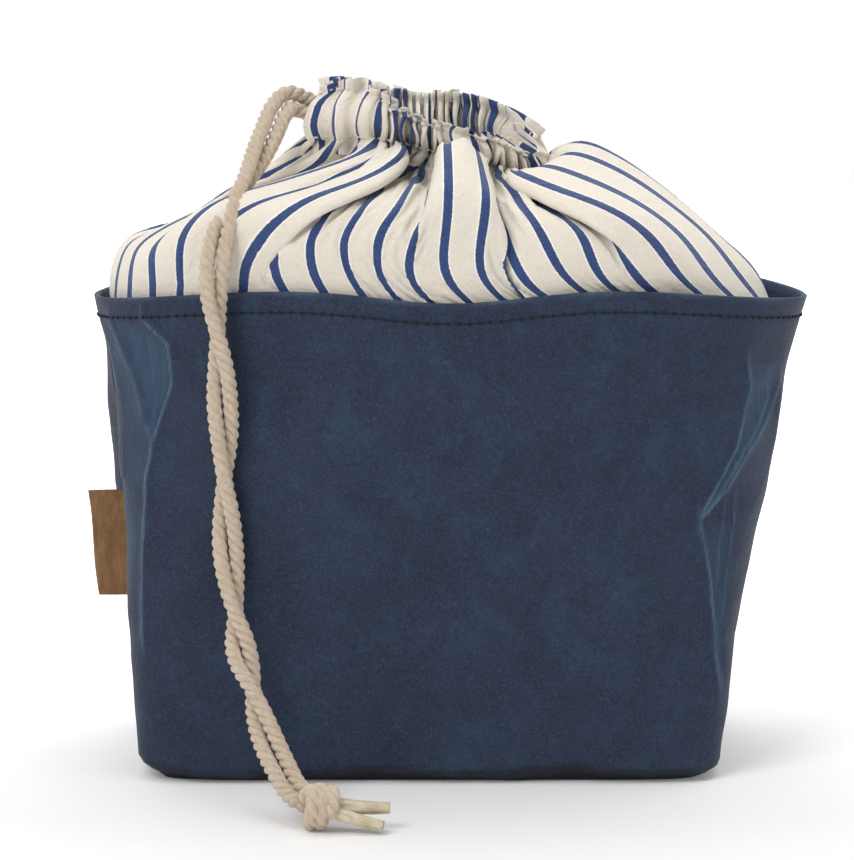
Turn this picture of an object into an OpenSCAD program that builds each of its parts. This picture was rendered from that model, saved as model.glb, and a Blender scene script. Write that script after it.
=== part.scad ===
// Box-bottomed bag of washable paper with a removable cotton drawstring liner.
// Origin: centre of the rim, on the ground. +X to the right, +Y to the back, +Z up.

/* [Paper shell] */
// Half the width of the rim, from the middle to a side seam
rim_half_w = 119; // [117:1:122]
// Half the depth of the rim
rim_half_d = 64; // [63:1:68]
// Left edge of the base
base_left = -102; // [-106:1:-100]
// Right edge of the base
base_right = 88; // [86:1:94]
// Half the depth of the base
base_half_d = 57; // [53:1:58]
// Mean height of the rim
rim_h = 159; // [157:1:164]
// Thickness of the paper
paper_t = 1; // [0.6:0.1:1.2]
// How far the side seams fold inward at half height
seam_fold = 6; // [2:0.5:6]
// Height of the turned-in hem
hem_h = 8; // [6:0.5:10]

/* [Stitching] */
// Stitches along half of the rim
hem_stitches = 70; // [50:1:80]
// Distance of the stitch row below the edge of the rim
hem_stitch_drop = 6; // [4:0.5:7]

/* [Label] */
// Width of the tab outside the seam
label_w = 16; // [10:0.5:18]
// Height of the tab
label_h = 36; // [25:1:45]
// Height of the tab's lower edge above the ground
label_z = 52; // [40:1:60]

/* [Liner] */
// Thickness of the cotton, with its gathers pressed flat
cotton_t = 0.8; // [0.6:0.1:1.2]
// Half the width of the gathered neck, at the middle of the casing
neck_half_w = 35.5; // [34:0.5:38]
// Half the depth of the gathered neck, at the middle of the casing
neck_half_d = 18.5; // [17:0.5:20]
// Height of the casing's lower edge above the ground
neck_z = 204; // [203:1:208]
// Height of the casing, between its stitch rows
casing_h = 16; // [14:0.5:17]
// Height of the frill above the upper stitch row
header_h = 3; // [2:0.5:4]
// Number of gathers round the neck
gathers = 30; // [24:1:34]

/* [Cord] */
// Diameter of the cord
cord_d = 5; // [4:0.1:5.2]
// Radius of the knot
knot_r = 6.8; // [6:0.1:7]
// Length of the cord ends past the knot
cord_end_l = 14; // [10:0.5:18]

/* [Hidden] */

gap = 0.1;                  // between pieces that lie against each other
base_corner = 2.5;           // how far the bottom edge of the walls is drawn in
base_corner_t = 0.035;      // up to this share of the height
seam_fold_w = 14;           // how wide the inward fold of a side seam is
base_power = 10;            // superellipse power of the base: nearly a rectangle
rim_power = 2.15;           // superellipse power of the rim: nearly an ellipse
rim_mean_shift = 3;         // the back of the rim is higher than the front
seam_z_dip = 2.5;           // the rim dips at the side seams
quarter_z_rise = 2.4;       // and rises between the seams and the middle
allowance_steps = 2;        // their width, in steps of the wall's outline
seam_t = 1.2;               // thickness of the two turned-in layers
stitch = [2.9, 0.5, 0.7];   // one stitch of the hem
neck_x = -7.5;              // the neck stands to the left of the middle
neck_tilt = -0.17;          // and leans down to the right
neck_bow = -0.0034;         // more steeply the further right
channel = 4.6;              // the casing's layers, either side of the cord's line
gather_a = 1.3;             // half the depth of a gather
pair_r = cord_d / 2 + 0.1;  // each cord's distance from the middle of the twisted pair
half_steps = hem_stitches;
liner_steps = 48;
ring_sides = 10;

// Height fractions at which the walls have a ring of points
WALL_LEVELS = [0, 0.01, 0.035, 0.13, 0.28, 0.42, 0.56, 0.7, 0.85, 0.95, 1];
ALLOWANCE_LEVELS = [0.06, 0.13, 0.28, 0.42, 0.56, 0.7, 0.85, 0.93];

// The liner's outline: height, left edge, right edge, half depth, superellipse power,
// and how much of the neck's lean it has taken up
LINER = [
    [2.2, -91, 77, 45, 3.2, 0],
    [6, -95, 81, 49, 3.2, 0],
    [40, -98, 86, 51, 3, 0],
    [80, -100, 92, 53, 2.7, 0],
    [120, -106, 100, 55.5, 2.3, 0],
    [150, -111, 106, 58, 2.15, 0],
    [163, -112, 101, 57.5, 2.1, 0.05],
    [173, -109, 89, 54, 2.1, 0.15],
    [181, -96, 78, 48, 2, 0.3],
    [190, -77, 66, 40, 2, 0.5],
    [198, -59, 48, 29, 2, 0.8],
    [203, -46.5, 31.5, 23, 2, 1]
];

// The middle of the twisted pair, from the casing to the knot, and how far round it
// the first cord has turned
PAIR_ROUTE = [
    [-48.5, 0, 217, -30], [-53, -2.5, 218.5, -10], [-56.5, -8.5, 215.5, 5], [-59, -16, 209.5, 15],
    [-62, -24.5, 202.5, 35], [-65.5, -33.5, 195.5, 70], [-69.5, -42.5, 188.5, 105], [-72.5, -51, 180.5, 140],
    [-74.5, -58, 170.5, 180], [-75, -61, 159, 225], [-74, -61, 147.5, 270], [-73, -61.5, 136, 315],
    [-72.5, -62, 124.5, 360], [-72, -62, 113, 405], [-72, -62.5, 101.5, 450], [-71.5, -63, 90, 495],
    [-71, -64, 79, 540], [-70, -66, 68, 590], [-68.5, -69.5, 57.5, 640], [-66.5, -74, 47.5, 720],
    [-63.5, -80, 38, 800], [-60.5, -86.5, 29.5, 860], [-57, -93, 22, 900], [-53, -100, 15.5, 925],
    [-49, -107, 10.5, 945], [-44.5, -113, 8, 960]
];
KNOT = [-40, -117.5, 7.2];
KNOT_TURN = -45;            // its axis follows the cords
knot_flat = 4;              // radius of its flat faces
knot_edge = 3.5;            // half the height of its side
END_ROOT = [5.5, 3, -3.6];  // where a cord end leaves the knot, from the knot's middle
END_TURN = 22;              // how far the two ends spread
end_slim = 0.8;             // a waxed end is this much thinner

// ---------- curves ----------

function mix(a, b, t) = a + (b - a) * t;

// A point of a superellipse, by its polar angle
function oval(a, b, power, angle) =
    let(r = pow(pow(abs(cos(angle)) / a, power) + pow(abs(sin(angle)) / b, power), -1 / power))
    [r * cos(angle), r * sin(angle)];

// The shell's outline at a share t of its height
function shell_at(t, angle) =
    let(
        left = mix(base_left, -rim_half_w, t),
        right = mix(base_right, rim_half_w, t),
        power = mix(rim_power, base_power, pow(1 - t, 2)),
        p = oval((right - left) / 2, mix(base_half_d, rim_half_d, t), power, angle),
        fold = seam_fold * sin(180 * t) * exp(-pow(p.y / seam_fold_w, 2)),
        corner = base_corner * pow(max(0, 1 - t / base_corner_t), 2)
    )
    [(left + right) / 2 + p.x * (1 - 2 * corner / (right - left)) - sign(p.x) * fold,
     p.y * (1 - corner / base_half_d)];

// Height of the rim at a polar angle
function rim_z(angle) =
    rim_h + rim_mean_shift * sin(angle) - seam_z_dip * cos(2 * angle) - quarter_z_rise * cos(4 * angle);

// Running lengths along a line of points
function running(points) =
    [for (i = 0, s = 0; i < len(points);
          i = i + 1, s = i < len(points) ? s + norm(points[i] - points[i - 1]) : s) s];

// The same line with n + 1 points spaced evenly along it
function even(points, n) =
    let(
        s = running(points),
        total = s[len(s) - 1],
        xs = [for (i = [0:len(s) - 1]) [s[i], points[i].x]],
        ys = [for (i = [0:len(s) - 1]) [s[i], points[i].y]]
    )
    [for (j = [0:n]) [lookup(total * j / n, xs), lookup(total * j / n, ys)]];

// Outward normals of a line that runs round the front or the back from left to right.
// Those at its two ends point along X, so that front and back meet in one plane.
function normals(points, side) =
    [for (j = [0:len(points) - 1])
        j == 0 ? [-1, 0] : j == len(points) - 1 ? [1, 0] :
        let(d = points[j + 1] - points[j - 1], u = d / norm(d)) side * [-u.y, u.x]];

function moved(points, side, distance) =
    let(n = normals(points, side)) [for (j = [0:len(points) - 1]) points[j] + distance * n[j]];

// Half of the shell's outline from the left seam to the right: side 1 is the back, -1 the front
function shell_half(t, side) =
    even([for (i = [0:180]) shell_at(t, side * (180 - i))], half_steps);

// One ring of a wall patch: the outline at level t, moved inward by inset
function wall_line(t, side, inset) =
    let(p = moved(shell_half(t, side), side, -inset))
    [for (j = [0:half_steps])
        let(angle = atan2(p[j].y, p[j].x)) [p[j].x, p[j].y, t * rim_z(angle)]];

// ---------- solids from rows of points ----------

// A closed skin between an outer and an inner grid of points. Each grid is a list of rows,
// from the lowest up. flip turns the faces round for a grid that runs the other way.
module skin(outer, inner, flip = false) {
    rows = len(outer);
    cols = len(outer[0]);
    points = concat([for (r = outer) each r], [for (r = inner) each r]);
    function o(i, j) = i * cols + j;
    function n(i, j) = rows * cols + i * cols + j;
    faces = concat(
        [for (i = [0:rows - 2]) for (j = [0:cols - 2])
            each [[o(i, j), o(i + 1, j), o(i + 1, j + 1)], [o(i, j), o(i + 1, j + 1), o(i, j + 1)]]],
        [for (i = [0:rows - 2]) for (j = [0:cols - 2])
            each [[n(i, j), n(i + 1, j + 1), n(i + 1, j)], [n(i, j), n(i, j + 1), n(i + 1, j + 1)]]],
        [for (j = [0:cols - 2])
            each [[o(0, j), o(0, j + 1), n(0, j + 1)], [o(0, j), n(0, j + 1), n(0, j)]]],
        [for (j = [0:cols - 2]) let(i = rows - 1)
            each [[o(i, j), n(i, j + 1), o(i, j + 1)], [o(i, j), n(i, j), n(i, j + 1)]]],
        [for (i = [0:rows - 2])
            each [[o(i, 0), n(i, 0), n(i + 1, 0)], [o(i, 0), n(i + 1, 0), o(i + 1, 0)]]],
        [for (i = [0:rows - 2]) let(j = cols - 1)
            each [[o(i, j), n(i + 1, j), n(i, j)], [o(i, j), o(i + 1, j), n(i + 1, j)]]]
    );
    polyhedron(points, flip ? [for (f = faces) [f[2], f[1], f[0]]] : faces, convexity = 8);
}

// The same for grids whose rows are closed rings
module ring_skin(outer, inner) {
    rows = len(outer);
    cols = len(outer[0]);
    points = concat([for (r = outer) each r], [for (r = inner) each r]);
    function o(i, j) = i * cols + j % cols;
    function n(i, j) = rows * cols + i * cols + j % cols;
    top = rows - 1;
    faces = concat(
        [for (i = [0:rows - 2]) for (j = [0:cols - 1])
            each [[o(i, j), o(i + 1, j), o(i + 1, j + 1)], [o(i, j), o(i + 1, j + 1), o(i, j + 1)]]],
        [for (i = [0:rows - 2]) for (j = [0:cols - 1])
            each [[n(i, j), n(i + 1, j + 1), n(i + 1, j)], [n(i, j), n(i, j + 1), n(i + 1, j + 1)]]],
        [for (j = [0:cols - 1])
            each [[o(0, j), o(0, j + 1), n(0, j + 1)], [o(0, j), n(0, j + 1), n(0, j)]]],
        [for (j = [0:cols - 1])
            each [[o(top, j), n(top, j + 1), o(top, j + 1)], [o(top, j), n(top, j), n(top, j + 1)]]]
    );
    polyhedron(points, faces, convexity = 8);
}

// A round tube swept along points, its rings square to the route
module tube(route, d, sides = ring_sides) {
    count = len(route);
    function tangent(i) = let(v = route[min(i + 1, count - 1)] - route[max(i - 1, 0)]) v / norm(v);
    function side_of(t) = let(v = cross(t, abs(t.y) > 0.9 ? [1, 0, 0] : [0, 1, 0])) v / norm(v);
    points = [for (i = [0:count - 1])
        let(t = tangent(i), a = side_of(t), b = cross(t, a))
        for (k = [0:sides - 1]) route[i] + d / 2 * (cos(360 * k / sides) * a + sin(360 * k / sides) * b)];
    faces = concat(
        [[for (k = [0:sides - 1]) k]],
        [for (i = [0:count - 2]) for (k = [0:sides - 1])
            let(a = i * sides + k, b = i * sides + (k + 1) % sides)
            each [[a, a + sides, b + sides], [a, b + sides, b]]],
        [[for (k = [sides - 1:-1:0]) (count - 1) * sides + k]]
    );
    polyhedron(points, faces, convexity = 8);
}

// ---------- paper shell ----------

module wall_patch(levels, side, outer_inset, inner_inset) {
    skin([for (t = levels) wall_line(t, side, outer_inset)],
         [for (t = levels) wall_line(t, side, inner_inset)], flip = side > 0);
}

module shell_panel(side) {
    color([0.17, 0.22, 0.33]) wall_patch(WALL_LEVELS, side, 0, paper_t);
}

module front_panel() shell_panel(-1);

module back_panel() shell_panel(1);

module base_panel() {
    back = moved(shell_half(0, 1), 1, -paper_t);
    front = moved(shell_half(0, -1), -1, -paper_t);
    color([0.15, 0.19, 0.29])
        linear_extrude(paper_t)
            polygon(concat(front, [for (j = [half_steps - 1:-1:1]) back[j]]));
}

module rim_hem(side) {
    low = 1 - hem_h / rim_h;
    color([0.17, 0.22, 0.33])
        wall_patch([low, mix(low, 1, 0.5), 1], side, paper_t + gap, 2 * paper_t);
}

module rim_hem_front() rim_hem(-1);

module rim_hem_back() rim_hem(1);

module hem_stitching() {
    t = 1 - hem_stitch_drop / rim_h;
    color([0.06, 0.07, 0.12])
        for (side = [-1, 1]) {
            p = wall_line(t, side, 0);
            for (j = [0:half_steps - 1]) {
                d = p[j + 1] - p[j];
                translate((p[j] + p[j + 1]) / 2)
                    rotate([0, 0, atan2(d.y, d.x)])
                        translate([-stitch.x / 2, side > 0 ? 2 * gap : -2 * gap - stitch.y, -stitch.z / 2])
                            cube(stitch);
            }
        }
}

// Two turned-in layers that lie against the back panel beside a seam
module seam_allowance(x_side) {
    color([0.16, 0.21, 0.31])
        skin([for (t = ALLOWANCE_LEVELS) allowance_line(t, x_side, paper_t + gap)],
             [for (t = ALLOWANCE_LEVELS) allowance_line(t, x_side, paper_t + gap + seam_t)], flip = true);
}

function allowance_line(t, x_side, inset) =
    let(line = wall_line(t, 1, inset))
    let(first = x_side < 0 ? 1 : half_steps - 1 - allowance_steps)
    [for (j = [first:first + allowance_steps]) line[j]];

module left_seam_allowance() seam_allowance(-1);

module right_seam_allowance() seam_allowance(1);

// ---------- label ----------

label_low_t = label_z / rim_z(180);
label_top_t = (label_z + label_h) / rim_z(180);
label_low_x = shell_at(label_low_t, 180).x;
label_top_x = shell_at(label_top_t, 180).x;
label_tilt = atan2(label_low_x - label_top_x, label_h);
label_gap = 0.7;            // between the seam and the root of the tab
label_half_t = 0.7;
label_slit = 0.15;          // half the space between its two layers
label_round = [0.6, 0.3];   // how its folded edge is rounded off

module label_tab() {
    round_x = label_round.x - label_w;
    round_y = label_half_t - label_round.y;
    fold_x = label_half_t + gap - label_w;
    color([0.56, 0.42, 0.27])
        translate([label_low_x - label_gap, 0, label_z])
            rotate([0, -label_tilt, 0])
                linear_extrude(label_h)
                    polygon([
                        [0, -label_half_t], [round_x, -label_half_t], [-label_w, -round_y],
                        [-label_w, round_y], [round_x, label_half_t], [0, label_half_t],
                        [0, label_slit], [fold_x, label_slit], [fold_x, -label_slit], [0, -label_slit]
                    ]);
}

// ---------- liner ----------

function lean(x) = neck_tilt * (x - neck_x) + neck_bow * pow(x - neck_x, 2);

function liner_half(row, side, inset) =
    let(
        dense = [for (i = [0:180])
            [(row[1] + row[2]) / 2, 0] + oval((row[2] - row[1]) / 2, row[3], row[4], side * (180 - i))],
        p = moved(even(dense, liner_steps), side, -inset)
    )
    [for (q = p) [q.x, q.y, row[0] + row[5] * lean(q.x)]];

module liner_panel(side) {
    color([0.88, 0.85, 0.78])
        skin([for (row = LINER) liner_half(row, side, 0)],
             [for (row = LINER) liner_half(row, side, cotton_t)], flip = side > 0);
}

module liner_front() liner_panel(-1);

module liner_back() liner_panel(1);

module liner_base() {
    back = liner_half(LINER[0], 1, cotton_t);
    front = liner_half(LINER[0], -1, cotton_t);
    color([0.86, 0.83, 0.76])
        translate([0, 0, LINER[0][0]])
            linear_extrude(cotton_t)
                polygon(concat([for (q = front) [q.x, q.y]],
                               [for (j = [liner_steps - 1:-1:1]) [back[j].x, back[j].y]]));
}

// A point of the gathered casing: angle round the neck, distance outside the cord's line,
// height above the casing's lower edge, and the share of the gathers' depth
function neck_point(angle, outward, h, depth = 1) =
    let(
        base = [neck_half_w * cos(angle), neck_half_d * sin(angle)],
        raw = [neck_half_d * cos(angle), neck_half_w * sin(angle)],
        n = raw / norm(raw),
        p = [neck_x, 0] + base + (outward + depth * gather_a * cos(gathers * angle)) * n
    )
    [p.x, p.y, neck_z + h + lean(p.x)];

gather_points = 6 * gathers;
seam_off = 1;               // the layers' distance from the middle at the stitch rows
shoulder_h = 4.5;           // height over which the channel opens out
casing_profile = [[seam_off, 0], [channel, shoulder_h], [channel, casing_h - shoulder_h],
                  [seam_off, casing_h]];
exit_half_angle = 360 / gathers / 2;

function neck_row(outward, h, from, to, count) =
    [for (k = [0:count]) neck_point(mix(from, to, k / count), outward, h)];

module casing_outer() {
    from = 180 + exit_half_angle;
    to = 540 - exit_half_angle;
    count = gather_points - 6;
    color([0.88, 0.85, 0.78])
        skin([for (c = casing_profile) neck_row(c.x + cotton_t / 2, c.y, from, to, count)],
             [for (c = casing_profile) neck_row(c.x - cotton_t / 2, c.y, from, to, count)]);
}

module casing_inner() {
    last = 360 - 360 / gather_points;
    count = gather_points - 1;
    color([0.86, 0.83, 0.76])
        ring_skin([for (c = casing_profile) neck_row(-c.x + cotton_t / 2, c.y, 0, last, count)],
                  [for (c = casing_profile) neck_row(-c.x - cotton_t / 2, c.y, 0, last, count)]);
}

module casing_header() {
    last = 360 - 360 / gather_points;
    count = gather_points - 1;
    low = casing_h + gap;
    color([0.9, 0.87, 0.8])
        ring_skin([for (h = [low, low + header_h]) neck_row(cotton_t, h, 0, last, count)],
                  [for (h = [low, low + header_h]) neck_row(-cotton_t, h, 0, last, count)]);
}

thread = [2.2, 0.5, 0.5];   // one stitch, its long side along the row
stitch_lift = 0.7;          // lower row: clear of the casing's slope
tack_w = 1.6;
tack_t = 0.5;
tack_angle = 7;             // from the edge of the casing's opening

// One stitch on the crest of each gather
module stitch_row(outward, h) {
    color([0.96, 0.95, 0.92])
        for (k = [0:gathers - 1])
            if (k * 2 != gathers) {
                angle = 360 * k / gathers;
                p = neck_point(angle, outward, h);
                translate(p)
                    rotate([0, 0, atan2(neck_half_w * sin(angle), neck_half_d * cos(angle))])
                        translate([2 * gap, -thread.x / 2, -thread.z / 2])
                            cube([thread.y, thread.x, thread.z]);
            }
}

module upper_stitch_row() stitch_row(cotton_t, casing_h + 2 * thread.z);

module lower_stitch_row() stitch_row(seam_off + cotton_t / 2 + stitch_lift, thread.z);

// Short dense stitches at the ends of the casing's opening
module exit_bar_tacks() {
    color([0.96, 0.95, 0.92])
        for (side = [-1, 1]) {
            angle = 180 + side * (exit_half_angle + tack_angle);
            p = neck_point(angle, channel + cotton_t / 2, shoulder_h + tack_t, 0);
            translate(p)
                rotate([0, 0, angle])
                    translate([gather_a + gap, -tack_w / 2, 0])
                        cube([tack_t, tack_w, casing_h - 2 * (shoulder_h + tack_t)]);
        }
}

loop_steps = 48;
loop_h = casing_h / 2 + 1;  // the cord's height in the casing

module drawstring_loop() {
    color([0.85, 0.77, 0.66]) ring_skin(loop_rows(1), loop_rows(-1));
}

// Rings of the loop's round section, from its lowest up: side 1 runs up the outside, -1 the inside
function loop_rows(side) =
    [for (a = [-75:30:75])
        [for (k = [0:loop_steps - 1])
            neck_point(360 * k / loop_steps, side * cord_d / 2 * cos(a), loop_h + cord_d / 2 * sin(a), 0)]];

// ---------- cord tails ----------

function route_point(i) = [PAIR_ROUTE[i][0], PAIR_ROUTE[i][1], PAIR_ROUTE[i][2]];

// One cord of the pair: it turns round the pair's middle line
function tail_route(start) =
    [for (i = [0:len(PAIR_ROUTE) - 1])
        let(
            v = route_point(min(i + 1, len(PAIR_ROUTE) - 1)) - route_point(max(i - 1, 0)),
            t = v / norm(v),
            a = cross(t, [0, 1, 0]) / norm(cross(t, [0, 1, 0])),
            b = cross(a, t),
            turn = start + PAIR_ROUTE[i][3]
        )
        route_point(i) + pair_r * (cos(turn) * a + sin(turn) * b)];

module cord_tail_a() color([0.85, 0.77, 0.66]) tube(tail_route(0), cord_d);

module cord_tail_b() color([0.83, 0.75, 0.63]) tube(tail_route(180), cord_d);

// A rounded lump, its axis along the cords
module cord_knot() {
    color([0.85, 0.77, 0.66])
        translate(KNOT)
            rotate([0, 0, KNOT_TURN])
                rotate([0, 90, 0])
                    rotate_extrude($fn = 24)
                        polygon([[0, -knot_r], [knot_flat, -knot_r], [knot_r, -knot_edge],
                                 [knot_r, knot_edge], [knot_flat, knot_r], [0, knot_r]]);
}

module cord_end(direction) {
    color([0.9, 0.85, 0.74])
        translate(KNOT + [END_ROOT.x, END_ROOT.y * direction, END_ROOT.z])
            rotate([0, 90, END_TURN * direction])
                cylinder(d = cord_d - end_slim, h = cord_end_l, $fn = 16);
}

module cord_end_a() cord_end(1);

module cord_end_b() cord_end(-1);

front_panel();
back_panel();
base_panel();
rim_hem_front();
rim_hem_back();
hem_stitching();
left_seam_allowance();
right_seam_allowance();
label_tab();
liner_front();
liner_back();
liner_base();
casing_outer();
casing_inner();
casing_header();
upper_stitch_row();
lower_stitch_row();
exit_bar_tacks();
drawstring_loop();
cord_tail_a();
cord_tail_b();
cord_knot();
cord_end_a();
cord_end_b();
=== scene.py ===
"""Looks of the washable-paper bag and its cotton drawstring liner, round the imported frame."""
import itertools
import math

import bpy
import numpy as np
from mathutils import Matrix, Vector


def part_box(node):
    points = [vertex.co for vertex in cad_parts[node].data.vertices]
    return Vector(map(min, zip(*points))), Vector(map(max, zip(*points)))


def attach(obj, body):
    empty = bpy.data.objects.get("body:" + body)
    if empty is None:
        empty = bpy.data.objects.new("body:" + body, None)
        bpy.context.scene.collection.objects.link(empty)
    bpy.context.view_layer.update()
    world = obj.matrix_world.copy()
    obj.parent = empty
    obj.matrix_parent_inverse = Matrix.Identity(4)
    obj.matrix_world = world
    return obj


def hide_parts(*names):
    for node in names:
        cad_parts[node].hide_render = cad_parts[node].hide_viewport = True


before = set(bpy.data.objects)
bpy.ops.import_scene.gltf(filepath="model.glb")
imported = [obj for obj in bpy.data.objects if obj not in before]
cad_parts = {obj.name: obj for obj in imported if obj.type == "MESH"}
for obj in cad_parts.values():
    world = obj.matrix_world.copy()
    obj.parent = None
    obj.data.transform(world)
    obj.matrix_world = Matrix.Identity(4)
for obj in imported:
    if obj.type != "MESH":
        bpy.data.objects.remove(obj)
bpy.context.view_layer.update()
MM = 0.001                      # the modelling below is in millimetres

# ---- camera and lights
scene = bpy.context.scene


def camera():
    data = bpy.data.cameras.new("camera")
    data.lens = 138.1
    data.clip_start, data.clip_end = 0.05, 20
    obj = bpy.data.objects.new("camera", data)
    obj.location = (-0.0077, -1.1, 0.25)
    obj.rotation_euler = (math.radians(90 - 7.35), 0, 0)
    bpy.context.collection.objects.link(obj)
    scene.camera = obj


def area_light(name, place, target, size, power, colour=(1, 1, 1)):
    data = bpy.data.lights.new(name, "AREA")
    data.shape = "RECTANGLE"
    data.size, data.size_y = size
    data.energy = power
    data.color = colour
    obj = bpy.data.objects.new(name, data)
    obj.location = place
    obj.rotation_euler = (Vector(target) - Vector(place)).to_track_quat("-Z", "Y").to_euler()
    bpy.context.collection.objects.link(obj)


camera()
area_light("key", (-0.8, -1.1, 1.3), (0, 0, 0.1), (0.8, 0.8), 13.5)
area_light("top", (0.1, 0.2, 1.6), (0, 0, 0.1), (1.4, 1.4), 10)
area_light("fill", (1.3, -0.8, 0.7), (0, 0, 0.1), (1.0, 1.0), 3)
world = bpy.data.worlds.new("world")
scene.world = world
world.use_nodes = True
world.node_tree.nodes["Background"].inputs[0].default_value = (1.0, 0.985, 0.955, 1)
world.node_tree.nodes["Background"].inputs[1].default_value = 0.42
scene.view_settings.view_transform = "Standard"


# ---- small tools
def srgb(code):
    """A colour written as six hex digits, as linear values."""
    parts = [int(code[i:i + 2], 16) / 255 for i in (0, 2, 4)]
    return tuple(c / 12.92 if c < 0.04045 else ((c + 0.055) / 1.055) ** 2.4 for c in parts) + (1,)


class Shader:
    """A material and short ways to add its nodes. A socket given as a value is linked."""

    def __init__(self, name):
        self.material = bpy.data.materials.new(name)
        self.material.use_nodes = True
        self.tree = self.material.node_tree
        self.bsdf = self.tree.nodes["Principled BSDF"]

    def put(self, node, key, value):
        socket = node.inputs[key]
        if isinstance(value, bpy.types.NodeSocket):
            self.tree.links.new(value, socket)
        else:
            socket.default_value = value

    def node(self, kind, inputs=(), **settings):
        made = self.tree.nodes.new("ShaderNode" + kind)
        for key, value in settings.items():
            setattr(made, key, value)
        for key, value in dict(inputs).items():
            self.put(made, key, value)
        return made

    def math(self, operation, a, b=0.0, clamp=False):
        return self.node("Math", {0: a, 1: b}, operation=operation, use_clamp=clamp).outputs[0]

    def mul(self, a, b, clamp=False):
        return self.math("MULTIPLY", a, b, clamp)

    def add(self, a, b):
        return self.math("ADD", a, b)

    def noise(self, vector, scale, detail=3.0, rough=0.55, distortion=0.0):
        return self.node("TexNoise", {"Vector": vector, "Scale": scale, "Detail": detail,
                                      "Roughness": rough, "Distortion": distortion}).outputs[0]

    def ramp(self, value, low, high):
        return self.node("MapRange", {"Value": value, "From Min": low, "From Max": high}).outputs[0]

    def mix(self, factor, a, b):
        made = self.node("Mix", data_type="RGBA")
        self.put(made, 0, factor)
        self.put(made, 6, a)
        self.put(made, 7, b)
        return made.outputs[2]

    def bump(self, height, distance, strength=1.0, normal=None):
        made = self.node("Bump", {"Height": height, "Distance": distance, "Strength": strength})
        if normal is not None:
            self.put(made, "Normal", normal)
        return made.outputs[0]

    def scaled(self, vector, factors):
        return self.node("VectorMath", {0: vector, 1: factors}, operation="MULTIPLY").outputs[0]

    def finish(self, **sockets):
        for key, value in sockets.items():
            self.put(self.bsdf, key.replace("_", " "), value)
        return self.material


def mesh_piece(name, shape, slot, body, *nodes, fields=()):
    """A smooth piece that rides on a body and replaces CAD nodes.

    Its shape is points in millimetres, faces, and a uv pair for every corner of every face.
    """
    points, faces, uv = shape
    mesh = bpy.data.meshes.new(name)
    mesh.from_pydata((np.asarray(points, float) * MM).tolist(), [], [list(map(int, f)) for f in faces])
    mesh.update()
    layer = mesh.uv_layers.new(name="UVMap")
    layer.data.foreach_set("uv", np.asarray(uv, np.float32).ravel())
    for field, values in dict(fields).items():
        layer = mesh.attributes.new(field, "FLOAT", "POINT")
        layer.data.foreach_set("value", np.asarray(values, np.float32).ravel())
    mesh.polygons.foreach_set("use_smooth", [True] * len(mesh.polygons))
    mesh.materials.append(MATERIALS[slot])
    obj = bpy.data.objects.new(name, mesh)
    bpy.context.collection.objects.link(obj)
    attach(obj, body)
    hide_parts(*nodes)
    return obj


def grid(rows, cols, v=None):
    """Faces of a grid of points that closes round, and the uv pairs of their corners."""
    j, i = np.meshgrid(np.arange(rows - 1), np.arange(cols), indexing="ij")
    i2 = (i + 1) % cols
    low, high = j * cols, (j + 1) * cols
    faces = np.stack([low + i, low + i2, high + i2, high + i], -1).reshape(-1, 4)
    v = np.linspace(0, 1, rows) if v is None else np.asarray(v)
    u0, u1 = i / cols, (i + 1) / cols
    uv = np.stack([np.stack([u0, v[j]], -1), np.stack([u1, v[j]], -1),
                   np.stack([u1, v[j + 1]], -1), np.stack([u0, v[j + 1]], -1)], 2).reshape(-1, 2)
    return faces, uv


def joined(parts):
    """Several (points, faces, uv) as one."""
    points, faces, uv, base = [], [], [], 0
    for p, f, t in parts:
        points.append(p)
        faces.append(np.asarray(f) + base)
        uv.append(t)
        base += len(p)
    return np.vstack(points), np.vstack(faces), np.vstack(uv)


def unit(v):
    return v / (np.linalg.norm(v, axis=-1, keepdims=True) + 1e-12)


def spline(xs, ys, x, period=None):
    """A smooth curve through points, with slopes from their neighbours."""
    xs, ys = np.asarray(xs, float), np.asarray(ys, float)
    if period:
        xs = np.r_[xs[-2:] - period, xs, xs[:2] + period]
        ys = np.concatenate([ys[-2:], ys, ys[:2]])
    slope = np.gradient(ys, xs, axis=0)
    k = np.clip(np.searchsorted(xs, x, side="right") - 1, 0, len(xs) - 2)
    h = xs[k + 1] - xs[k]
    t = (x - xs[k]) / h
    shape = (slice(None),) + (None,) * (ys.ndim - 1)
    t, h = t[shape], h[shape]
    return ((2 * t**3 - 3 * t**2 + 1) * ys[k] + (t**3 - 2 * t**2 + t) * h * slope[k]
            + (3 * t**2 - 2 * t**3) * ys[k + 1] + (t**3 - t**2) * h * slope[k + 1])


def running(points):
    return np.r_[0, np.cumsum(np.linalg.norm(np.diff(points, axis=0), axis=1))]


def resample(points, count):
    """The line with count points evenly along it."""
    s = running(points)
    x = np.linspace(0, s[-1], count)
    return np.stack([np.interp(x, s, points[:, k]) for k in range(points.shape[1])], 1)


def carried(path):
    """Two directions square to a path that don't twist round it."""
    t = unit(np.gradient(path, axis=0))
    a = np.zeros_like(t)
    first = np.cross(t[0], [0, 1, 0])
    a[0] = first / np.linalg.norm(first)
    for i in range(1, len(t)):
        v = a[i - 1] - t[i] * np.dot(a[i - 1], t[i])
        a[i] = v / np.linalg.norm(v)
    return a, np.cross(a, t)


def tube(path, radius, a, b, turn=0.0, sides=6, v=None):
    """Rings of points round a path, in its directions a and b: points, faces and uv."""
    ring = turn + (np.arange(sides) / sides * 2 * math.pi)[None]
    points = path[:, None] + radius[:, None, None] * (np.cos(ring)[..., None] * a[:, None]
                                                      + np.sin(ring)[..., None] * b[:, None])
    return points.reshape(-1, 3), *grid(len(path), sides, v)


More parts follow.
